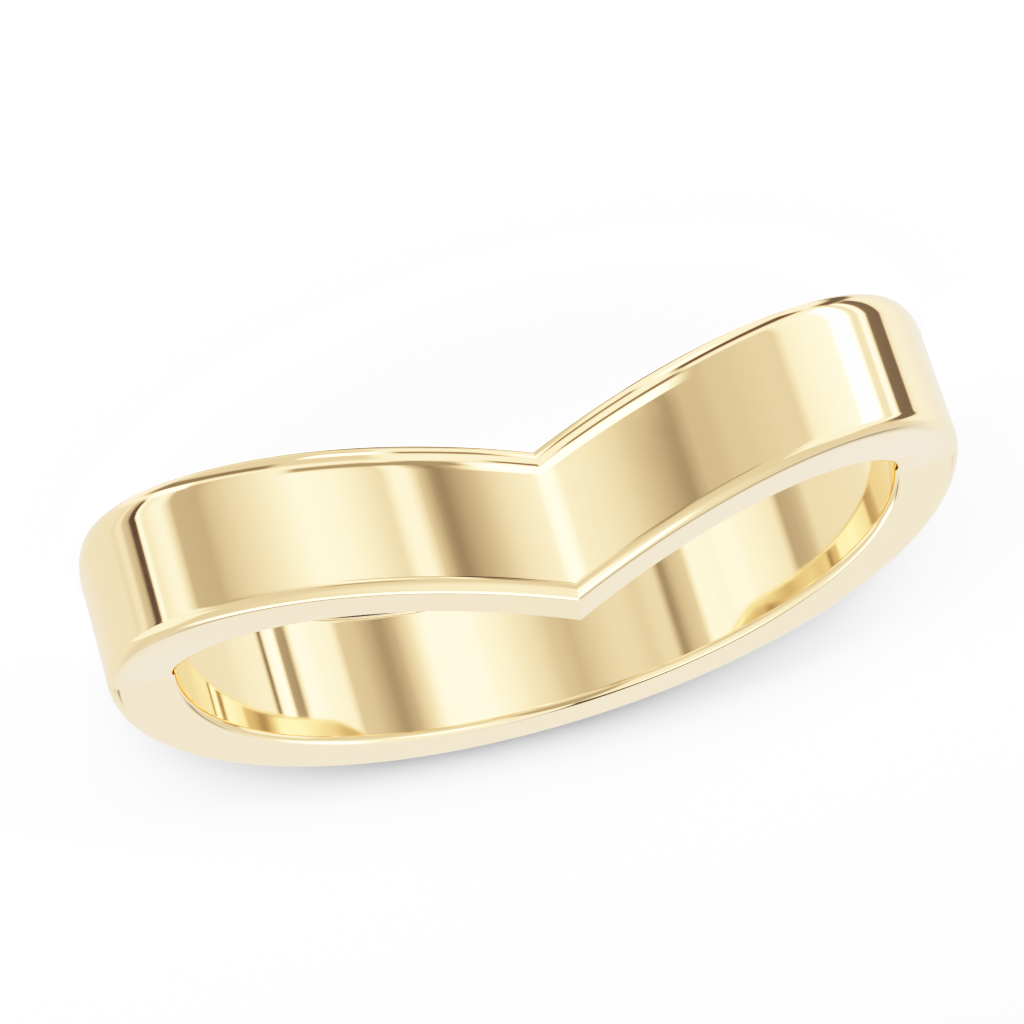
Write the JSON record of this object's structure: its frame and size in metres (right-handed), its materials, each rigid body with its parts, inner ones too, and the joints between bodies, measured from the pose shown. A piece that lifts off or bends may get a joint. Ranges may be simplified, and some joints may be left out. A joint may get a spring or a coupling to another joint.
{
  "type": "chevron ring",
  "caption": "Plain polished finger ring whose round band dips at the front in a V, shown lying on its side.",
  "frame": {"origin": "on the bore's axis, in the plane of the side face that the ring lies on", "axes": "+Z along the bore's axis, towards the side that the tip of the V points to; -Y from the axis towards the V, which is the front; the part is the same on both sides of the YZ plane"},
  "size_m": [0.0204, 0.0206, 0.0079],
  "materials": {
    "gold": "polished"
  },
  "bodies": {
    "root": {"band": "gold"}
  },
  "joints": []
}
